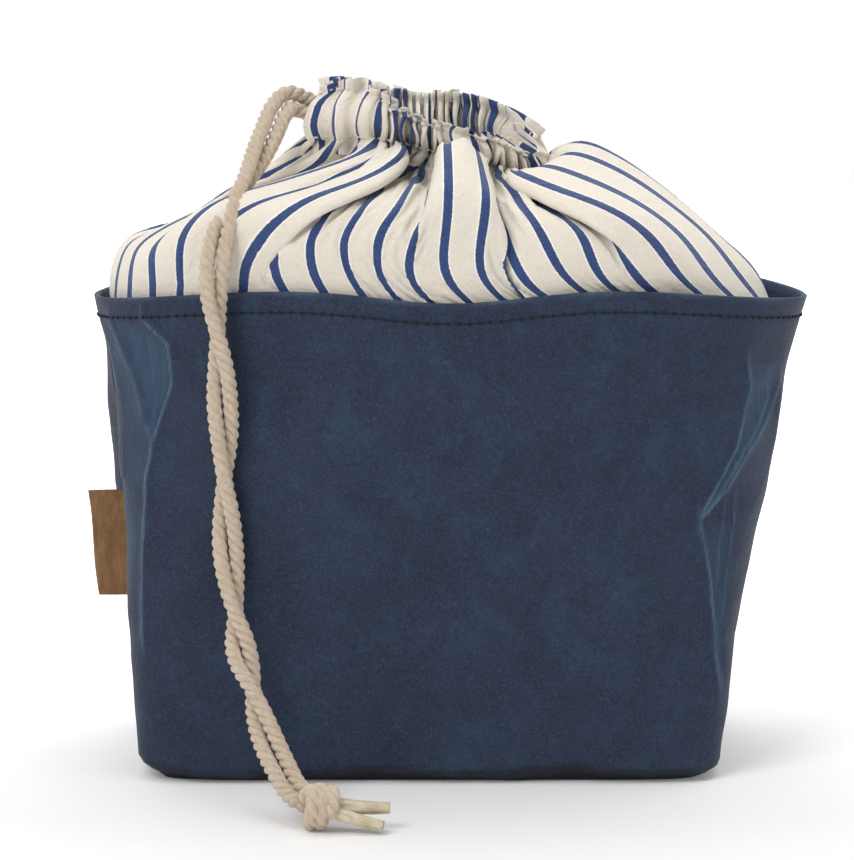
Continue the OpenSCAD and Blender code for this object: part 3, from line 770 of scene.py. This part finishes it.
# The cloth above the rim: how far round it a line of cloth is, in stripe pitches from the
# left seam, and five points of that line from just above the rim to the neck
FOLDS = [
    (0.0,  -112, 0, 165,  -107, 0, 173,  -91, 0, 177,  -70, 0, 190,  -50, 0, 201),
    (1.2,  -109, -14, 164,  -106, -14, 172,  -96, -12, 176,  -71, -10, 188,  -48, -4, 201),
    (2.2,  -104, -26, 165,  -103, -26, 171,  -96, -22, 176,  -72, -18, 187,  -40, -10, 201),
    (3.2,  -97, -37, 166,  -99, -38, 171,  -94, -34, 175,  -68, -27, 186,  -32, -14, 202),
    (3.7,  -94, -42, 167,  -96, -43, 173,  -85, -40, 183,  -57, -34, 194,  -27, -27, 205),
    (4.2,  -91, -45, 168,  -90, -47, 175,  -78, -46, 186,  -52, -40, 194,  -25, -30, 203),
    (5.2,  -83, -51, 168,  -81, -52, 176,  -67, -51, 185,  -44, -45, 192,  -20, -31, 203),
    (6.2,  -73, -56, 167,  -67, -59, 175,  -48, -58, 188,  -27, -50, 195,  -15, -33, 203),
    (6.7,  -66, -62, 167,  -57, -64, 173,  -40, -63, 185,  -23, -54, 192,  -13, -35, 199),
    (7.2,  -68, -57, 166,  -62, -59, 173,  -46, -59, 184,  -28, -50, 191,  -17, -31, 199),
    (7.7,  -64, -54, 166,  -62, -54, 172,  -51, -55, 182,  -32, -47, 190,  -19, -27, 199),
    (8.2,  -58, -56, 167,  -56, -56, 174,  -47, -52, 184,  -34, -43, 190,  -19, -24, 199),
    (9.2,  -46, -60, 167,  -45, -60, 176,  -38, -55, 185,  -31, -39, 191,  -16, -20, 200),
    (10.2,  -35, -63, 167,  -35, -62, 176,  -28, -57, 186,  -23, -43, 191,  -12, -19, 199),
    (11.2,  -25, -64, 167,  -23, -63, 178,  -17, -59, 186,  -14, -48, 191,  -8, -20, 198),
    (12.2,  -15, -66, 167,  -13, -66, 176,  -9, -61, 184,  -7, -49, 191,  -5, -23, 198),
    (12.6,  -11, -69, 168,  -9, -70, 178,  -7, -66, 187,  -5, -54, 197,  -4, -32, 205),
    (13.2,  -4, -71, 168,  -2, -73, 179,  -1, -68, 189,  -1, -56, 199,  -1, -36, 206),
    (13.7,  3, -72, 168,  4, -74, 179,  5, -69, 189,  4, -57, 199,  4, -37, 208),
    (14.2,  9, -71, 168,  11, -72, 179,  11, -66, 189,  10, -52, 197,  7, -33, 205),
    (14.75,  16, -69, 168,  17, -68, 178,  14, -60, 187,  13, -46, 193,  11, -28, 200),
    (15.2,  17, -64, 167,  17, -63, 176,  14, -55, 184,  12, -41, 191,  10, -23, 198),
    (15.7,  14, -59, 167,  12, -58, 176,  11, -50, 184,  10, -38, 191,  9, -20, 198),
    (16.2,  22, -62, 166,  18, -59, 175,  16, -53, 184,  13, -40, 190,  11, -20, 197),
    (17.2,  35, -63, 168,  29, -62, 177,  23, -56, 185,  20, -42, 189,  14, -20, 197),
    (18.2,  47, -61, 168,  42, -60, 178,  36, -54, 183,  30, -46, 187,  17, -22, 196),
    (19.2,  58, -57, 168,  56, -58, 174,  47, -57, 180,  35, -50, 187,  19, -27, 196),
    (19.7,  64, -57, 168,  61, -61, 174,  49, -62, 181,  31, -55, 186,  16, -34, 193),
    (20.2,  69, -51, 167,  66, -57, 177,  49, -60, 187,  30, -53, 192,  18, -31, 197),
    (21.2,  82, -38, 164,  77, -38, 173,  63, -38, 185,  46, -33, 193,  26, -22, 198),
    (22.2,  94, -22, 161,  88, -20, 172,  74, -16, 184,  55, -12, 197,  36, -10, 202),
    (23.2,  104, 0, 162,  92, 0, 172,  76, 0, 186,  57, 1, 199,  40, 2, 206),
]
# Where the cloth's pitches lie round the neck, in millimetres from the left seam
NECK_SHARE = np.array([(0, 0), (1.2, 8), (2.2, 17), (3.2, 24), (4.2, 31), (6.7, 39), (12.4, 50), (14.75, 66),
                       (20.2, 79), (23.2, 93), (42.2, 155), (44.2, 169), (46.4, 186)], float)


def gather_bounds():
    """Where one gather ends and the next begins, in pitches: wide beside the left seam."""
    gaps = np.random.default_rng(5).uniform(0.7, 1.35, 37)
    return np.r_[0, 1.75, 3.0, 4.2 + np.r_[0, np.cumsum(gaps)] / gaps.sum() * 38.2, 43.6, 44.9, STRIPES_ROUND]


GATHERS = gather_bounds()


def neck_row(h, mean, depth, wobble=0.0):
    """A row of the gathered neck: height, mean distance outside the ring, depth of its gathers."""
    u = np.arange(COLS) / COLS * STRIPES_ROUND
    k = np.clip(np.searchsorted(GATHERS, u, side="right") - 1, 0, len(GATHERS) - 2)
    f = (u - GATHERS[k]) / (GATHERS[k + 1] - GATHERS[k])
    share = np.interp(GATHERS, NECK_SHARE[:, 0], NECK_SHARE[:, 1]) / NECK_SHARE[-1, 1]
    s = share[k] + (share[k + 1] - share[k]) * f
    r = np.random.default_rng(23)
    uneven = r.uniform(0.55, 1.45, len(GATHERS))
    swing = r.uniform(-1, 1, len(GATHERS))
    drift = r.uniform(-1, 1, (len(GATHERS), 3))
    a, b = 37.5 - 0.45 * min(h, 9) - 0.2 * max(h - 9, 0), 20.0 - 0.12 * h
    line = closed_line(a, b, 2.0)
    loop = np.vstack([line, line[:1]])
    length = running(loop)
    full = np.clip(np.diff(GATHERS) * PITCH / (np.diff(share) * length[-1]) / 2.8, 0.45, 1.2)
    slide = 0.9 * drift[k, 0] * math.sin(h / 6.0) + 0.7 * drift[k, 1] * math.sin(h / 3.1)
    at = np.mod(s * length[-1] + slide * np.sin(math.pi * f), length[-1])
    p = np.stack([np.interp(at, length, loop[:, c]) for c in range(2)], 1)
    n = unit(p / [a * a, b * b])
    side = np.stack([-n[:, 1], n[:, 0]], 1)
    off = mean - depth * uneven[k] * full[k] * np.cos(2 * math.pi * f)
    shift = 0.16 * depth * np.sin(4 * math.pi * f) + swing[k] * 0.35 * depth * np.sin(math.pi * f) ** 2
    # the front of the casing lies back, except at its left, so that it looks lower
    slack = smooth((p[:, 0] + 20) / 18) * smooth(-p[:, 1] / 12)
    off += slack * 0.42 * h
    q = p + n * off[:, None] + side * shift[:, None] + [NECK_X - 0.5, 0]
    dip = np.exp(-((q[:, 0] + 12) / 13) ** 2) * smooth(p[:, 1] / 8)
    up = NECK_Z + h * (1 - 0.47 * slack - 0.2 * dip) + lean(q[:, 0])
    up -= 2 * slack * np.exp(-((q[:, 0] - 2) / 14) ** 2)
    ends = smooth((h - 12) / 7) * (1.5 * drift[k, 2] * np.sin(math.pi * f) + 0.5 * np.cos(2 * math.pi * f))
    return np.column_stack([q, up + wobble * ends])


def back_folds():
    """The back of the cloth above the rim: a plain cone with soft folds."""
    low = even_ring(closed_line(110.5, 58.5, 2.15, -2.5))
    made = []
    for n, f in enumerate(np.linspace(24.9, 44.9, 13)):
        crest = 13 * math.exp(-((f - 23.2) / 3.2) ** 2)     # it stands up beside the neck's right end
        p = low[int(round(f / STRIPES_ROUND * COLS)) % COLS]
        start = np.array([p[0], p[1], 150.0])
        angle = (f - STRIPES_ROUND / 2) / (STRIPES_ROUND / 2) * math.pi
        end = np.array([NECK_X + 38 * math.cos(angle), 20.5 * math.sin(angle), 0])
        end[2] = 203 + lean(end[0])
        out = unit(np.array([start[0] * 0.5, start[1], 0]))
        fold = 3.5 if n % 2 else -3.5
        line = []
        for t, bulge, rise in ((0.2, 2, 4 + 0.5 * crest), (0.4, 3, 4 + crest), (0.6, 3, 3 + 1.2 * crest),
                               (0.8, 2, 3 + 1.2 * crest), (0.97, 1, 3 + crest)):
            bulge += fold * math.sqrt(math.sin(math.pi * t))
            line.append(mix(start, end, t) + out * bulge + [0, 0, rise])
        made.append((f, line))
    return made


def cone_start():
    """The folded cloth before it settles: rows, columns, xyz."""
    folds = [(row[0], np.reshape(row[1:], (5, 3))) for row in FOLDS] + back_folds()
    net = spline([f for f, _ in folds], np.array([line for _, line in folds], float),
                 np.arange(COLS) / COLS * STRIPES_ROUND, STRIPES_ROUND)
    within_rim(net.reshape(-1, 3), 0.99)
    low = even_ring(closed_line(110.5, 58.5, 2.15, -2.5))
    top = neck_row(0, *NECK_PROFILE[0][1:])
    rows = np.zeros((CONE, COLS, 3))
    for i in range(COLS):
        path = np.vstack([[*low[i], 148.0], net[i], top[i]])
        s = running(path)
        rows[:, i] = resample(spline(s, path, np.linspace(0, s[-1], 200)), CONE)
    return rows


def within_rim(x, size=1.0):
    """Keeps points inside the rim's outline, which they may overhang a little further up."""
    r = (np.abs(x[:, 0] / 115.5) ** 2.15 + np.abs(x[:, 1] / 60.5) ** 2.15) ** (1 / 2.15)
    most = size * (1 + 0.0035 * np.clip(x[:, 2] - 161, 0, 40))
    out = (r > most) & (x[:, 2] < 200)
    x[out, :2] *= (most[out] / r[out])[:, None]


class Cloth:
    """A grid of cloth, closed round, that settles to its woven size without passing through itself."""

    def __init__(self, rows):
        self.rows, self.cols = rows.shape[:2]
        self.x = rows.reshape(-1, 3).copy()
        self.start = self.x.copy()
        index = np.arange(len(self.x)).reshape(self.rows, self.cols)
        self.free = np.ones(len(self.x))
        for held in (0, 1, -1):
            self.free[index[held]] = 0
        self.row_of, self.col_of = np.divmod(np.arange(len(self.x)), self.cols)
        across, up = STRIPES_ROUND * PITCH / self.cols, CONE_LENGTH / (self.rows - 1)
        self.links = []
        cols = np.arange(self.cols)

        def beside(k):
            return np.roll(index, -k, 1)

        def link(a, b, rest, pull, push):
            self.links.append((a.ravel(), b.ravel(), rest, pull, push))

        for odd in (0, 1):
            link(index[odd:-1:2], index[odd + 1::2], up, 1.0, 0.5)
            pick = cols[cols % 2 == odd]
            link(index[:, pick], beside(1)[:, pick], across, 1.0, 0.35)
        for odd in (0, 1):
            link(index[odd:-1:2], beside(1)[odd + 1::2], math.hypot(across, up), 0.3, 0.1)
            link(beside(1)[odd:-1:2], index[odd + 1::2], math.hypot(across, up), 0.3, 0.1)
        for k, share, push in ((2, 0.93, 0.5), (4, 0.8, 0.5), (8, 0.5, 0.25)):
            for odd in (0, 1):
                pick = cols[((cols // k) % 2 == odd) & (cols < self.cols - (self.cols % (2 * k) > 0) * k)]
                link(index[:, pick], beside(k)[:, pick], across * k * share, 0, push)
                pick = np.arange(self.rows - k)
                pick = pick[(pick // k) % 2 == odd]
                link(index[pick], index[pick + k], up * k * share, 0, push)

    def hold_links(self):
        x = self.x
        for a, b, rest, pull, push in self.links:
            d = x[b] - x[a]
            length = np.sqrt((d * d).sum(1)) + 1e-9
            e = (length - rest) / length
            e = np.where(e > 0, e * pull, e * push)
            fa, fb = self.free[a], self.free[b]
            e = e / np.maximum(fa + fb, 1)
            d *= e[:, None]
            x[a] += d * fa[:, None]
            x[b] -= d * fb[:, None]

    def part_layers(self, thick=1.5, cell=1.7, most=5):
        """Pushes apart points of different layers that are nearer than thick."""
        x = self.x
        c = np.floor((x - x.min(0)) / cell).astype(np.int64) + 1
        _, ny, nz = c.max(0) + 2
        key = (c[:, 0] * ny + c[:, 1]) * nz + c[:, 2]
        order = np.argsort(key, kind="stable")
        cells, start, count = np.unique(key[order], return_index=True, return_counts=True)
        held = np.full((len(cells), most), -1)
        for m in range(most):
            ok = count > m
            held[ok, m] = order[start[ok] + m]
        near_a, near_b = [], []
        around = [o for o in itertools.product((-1, 0, 1), repeat=3) if o >= (0, 0, 0)]
        for o in around:
            other = cells + (o[0] * ny + o[1]) * nz + o[2]
            place = np.minimum(np.searchsorted(cells, other), len(cells) - 1)
            hit = cells[place] == other
            a = np.repeat(held[hit], most, 1).ravel()
            b = np.tile(held[place[hit]], (1, most)).ravel()
            ok = (a >= 0) & (b >= 0)
            if o == (0, 0, 0):
                ok &= a < b
            a, b = a[ok], b[ok]
            apart = np.abs(self.col_of[a] - self.col_of[b])
            apart = np.minimum(apart, self.cols - apart)
            ok = (apart > 2) | (np.abs(self.row_of[a] - self.row_of[b]) > 2)
            near_a.append(a[ok])
            near_b.append(b[ok])
        a, b = np.concatenate(near_a), np.concatenate(near_b)
        d = x[b] - x[a]
        length = np.sqrt((d * d).sum(1)) + 1e-9
        ok = length < thick
        a, b, d, length = a[ok], b[ok], d[ok], length[ok]
        push = d / length[:, None] * ((thick - length) * 0.5)[:, None]
        hits = np.bincount(a, minlength=len(x)) + np.bincount(b, minlength=len(x))
        for k in range(3):
            moved = np.bincount(b, push[:, k], len(x)) - np.bincount(a, push[:, k], len(x))
            x[:, k] += 1.5 * moved / np.maximum(hits, 1) * self.free

    def outward(self):
        g = self.x.reshape(self.rows, self.cols, 3)
        n = np.cross(np.roll(g, -1, 1) - np.roll(g, 1, 1), np.gradient(g, axis=0))
        return unit(n).reshape(-1, 3)

    def settle(self, steps, guide=0.06, puff=0.012, weight=0.003):
        for i in range(steps):
            self.x += (self.start - self.x) * (guide * (1 - 0.7 * i / steps) * self.free)[:, None]
            self.x += self.outward() * (puff * self.free)[:, None]
            self.x[:, 2] -= weight * self.free
            self.hold_links()
            if i % 6 == 5:
                self.part_layers()
                within_rim(self.x)
        return self.x.reshape(self.rows, self.cols, 3)


# The gathered neck: height above the lower stitches, mean distance outside the ring, gather depth.
# Up the outside of the casing, over the frill, and down its inside.
NECK_PROFILE = [
    (0, 1.2, 3.6), (1.2, 2.5, 3.3), (3, 4.2, 2.9), (5, 5.4, 2.6), (7, 5.9, 2.5), (9, 5.9, 2.5),
    (11, 5.5, 2.6), (13, 4.3, 2.9), (14.8, 2.5, 3.3), (16, 1.2, 3.6), (16.8, 1.2, 3.9), (18, 1.7, 4.3),
    (19.2, 2.2, 4.6), (19.6, 1.7, 4.6), (19.2, 1.1, 4.5), (18, 0.6, 4.2), (16.8, 0.2, 3.8), (16, 0.1, 3.5),
    (14.8, -1.5, 3.1), (13, -3.6, 2.7), (11, -5.2, 2.4), (8, -5.9, 2.3), (5, -5.2, 2.4), (3, -3.6, 2.7),
    (1.2, -1.7, 3.1), (0, -0.3, 3.5), (-2, -1.2, 3.3), (-5, -2.4, 3.0)]

# The cloth below the rim: height, left edge, right edge, half depth, superellipse power
BODY = np.array([
    (2.2, -91, 77, 45, 3.2), (6, -95, 81, 49, 3.2), (14, -96, 83, 50, 3.2), (40, -98, 86, 51, 3.0),
    (80, -100, 92, 53, 2.7), (120, -107, 101, 55.5, 2.3), (148, -113, 108, 58.5, 2.15)], float)


def body_rows():
    heights = np.r_[2.2, 3.2, 4.4, 6, np.linspace(9, 146, 44)]
    sizes = spline(BODY[:, 0], BODY[:, 1:], heights)
    rows = []
    for z, (left, right, depth, power) in zip(heights, sizes):
        ring = even_ring(closed_line((right - left) / 2, depth, power, (left + right) / 2))
        rows.append(np.column_stack([ring, np.full(COLS, z)]))
    rows = np.array(rows)
    u = np.arange(COLS)[None] / COLS * STRIPES_ROUND * PITCH + np.zeros((len(rows), 1))
    sag = waves(u, rows[..., 2] * 0.35, 10, 110, 26, 8)
    calm = np.clip((heights - 5) / 30, 0, 1) * np.clip((146 - heights) / 30, 0, 1)
    inward = unit(rows * [1, 1, 0] - [-5, 0, 0])
    rows -= inward * (np.clip(sag + 0.4, 0, 3) * 1.5 * calm[:, None])[..., None]
    return rows, heights


def liner():
    start = cone_start()
    cloth = Cloth(start)
    cone = cloth.settle(300)
    body, heights = body_rows()
    neck = np.array([neck_row(h, mean, depth, 1.0) for h, mean, depth in NECK_PROFILE[1:]])
    rows = np.concatenate([body, cone, neck])
    step = np.linalg.norm(np.diff(rows, axis=0), axis=2)
    v = np.r_[0, np.cumsum(np.median(step, axis=1))] / CLOTH_V
    faces, uv = grid(len(rows), COLS, v=v)
    # the casing is open where the cord comes out
    first = len(body) + CONE + 1
    j, i = faces[:, 0] // COLS, faces[:, 0] % COLS
    opening = (j >= first + 1) & (j <= first + 5) & ((i <= 4) | (i >= COLS - 5))
    keep = ~opening
    faces, uv = faces[keep], uv.reshape(-1, 4, 2)[keep].reshape(-1, 2)
    piece = mesh_piece("striped_liner", (rows.reshape(-1, 3), faces, uv), "striped_cotton", "liner",
                       "liner_front", "liner_back", "casing_outer", "casing_inner", "casing_header")
    return piece, body, neck


liner_cloth, body, neck = liner()


def liner_base():
    """The box bottom: flat cloth on a row of its own, hemmed into the walls."""
    middle = np.array([-7, 0, 0])
    stack = []
    for share in (1, 0.985, 0.9, 0.75, 0.55, 0.35, 0.15, 0.005):
        ring = middle + (body[0] - middle) * [share, share, 1]
        ring[:, 2] = 2.2 - 0.25 * (1 - share)
        stack.append(ring)
    stack = np.array(stack)
    faces, _ = grid(len(stack), COLS)
    flat = stack.reshape(-1, 3)
    uv = flat[faces.ravel()][:, :2] / [STRIPES_ROUND * PITCH, CLOTH_V]
    return mesh_piece("liner_bottom", (flat, faces, uv), "striped_cotton", "liner", "liner_base")


bottom = liner_base()


def neck_details():
    """White stitches above and below the casing, and the cord inside it."""
    made = []
    for name, node, rows_used in (("lower_casing_stitches", "lower_stitch_row", (0.9, 2.0, 3.1)),
                                  ("upper_casing_stitches", "upper_stitch_row", (16.3, 1.2, 3.5))):
        line = neck_row(*rows_used)
        along = np.roll(line, -1, 0) - np.roll(line, 1, 0)
        out = unit(np.column_stack([along[:, 1], -along[:, 0], np.zeros(COLS)]))
        shape = stitches_along(line, out, 3.5, 2.4, 0.36, 0.4,
                               skip=lambda share: share < 0.004 or share > 0.996)
        made.append(mesh_piece(name, shape, "white_thread", "liner", node))
    tacks = []
    for side in (-1, 1):
        edge = resample(neck[1:6, (10 * side) % COLS], 6)
        across = unit(neck[3, (12 * side) % COLS] - neck[3, (8 * side) % COLS])
        out = unit(np.cross(across * side, [0, 0, -1]))
        for p in edge:
            tacks.append(sweep(p + np.array([a * across + b * out for a, b in (
                (-0.9, -0.4), (-0.45, 0.2), (0, 0.3), (0.45, 0.2), (0.9, -0.4))]), 0.22))
    made.append(mesh_piece("exit_tacks", joined(tacks), "white_thread", "liner", "exit_bar_tacks"))
    loop = neck_row(8.5, 0, 0.0)
    loop = resample(np.vstack([loop, loop[:1]]), 241)
    shape = rope(loop, 2.3, 12.0, sides=8)
    made.append(mesh_piece("drawstring_in_casing", shape, "cotton_cord", "liner", "drawstring_loop"))
    return made


details = neck_details()

# The shell's seam allowances stay as they are, in the shell's paper
for name in ("left_seam_allowance", "right_seam_allowance"):
    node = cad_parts[name]
    for k in range(len(node.material_slots)):
        node.material_slots[k].material = MATERIALS["washable_paper"]

# ---- floor and backdrop
def stage_plane(name, corners, material):
    mesh = bpy.data.meshes.new(name)
    mesh.from_pydata(corners, [], [(0, 1, 2, 3)])
    mesh.materials.append(material)
    plane = bpy.data.objects.new(name, mesh)
    bpy.context.collection.objects.link(plane)


def backdrop_material():
    m = Shader("backdrop")
    glow = m.node("Emission", {"Color": (1, 1, 1, 1), "Strength": 1.0}).outputs[0]
    m.tree.links.new(glow, m.tree.nodes["Material Output"].inputs["Surface"])
    return m.material


SIDE, FAR = 9.8, 3.2            # metres
stage_plane("floor", [(-SIDE, -3, 0), (SIDE, -3, 0), (SIDE, FAR, 0), (-SIDE, FAR, 0)], floor_material())
stage_plane("backdrop", [(-SIDE, FAR, -0.02), (SIDE, FAR, -0.02), (SIDE, FAR, 7.4), (-SIDE, FAR, 7.4)],
            backdrop_material())
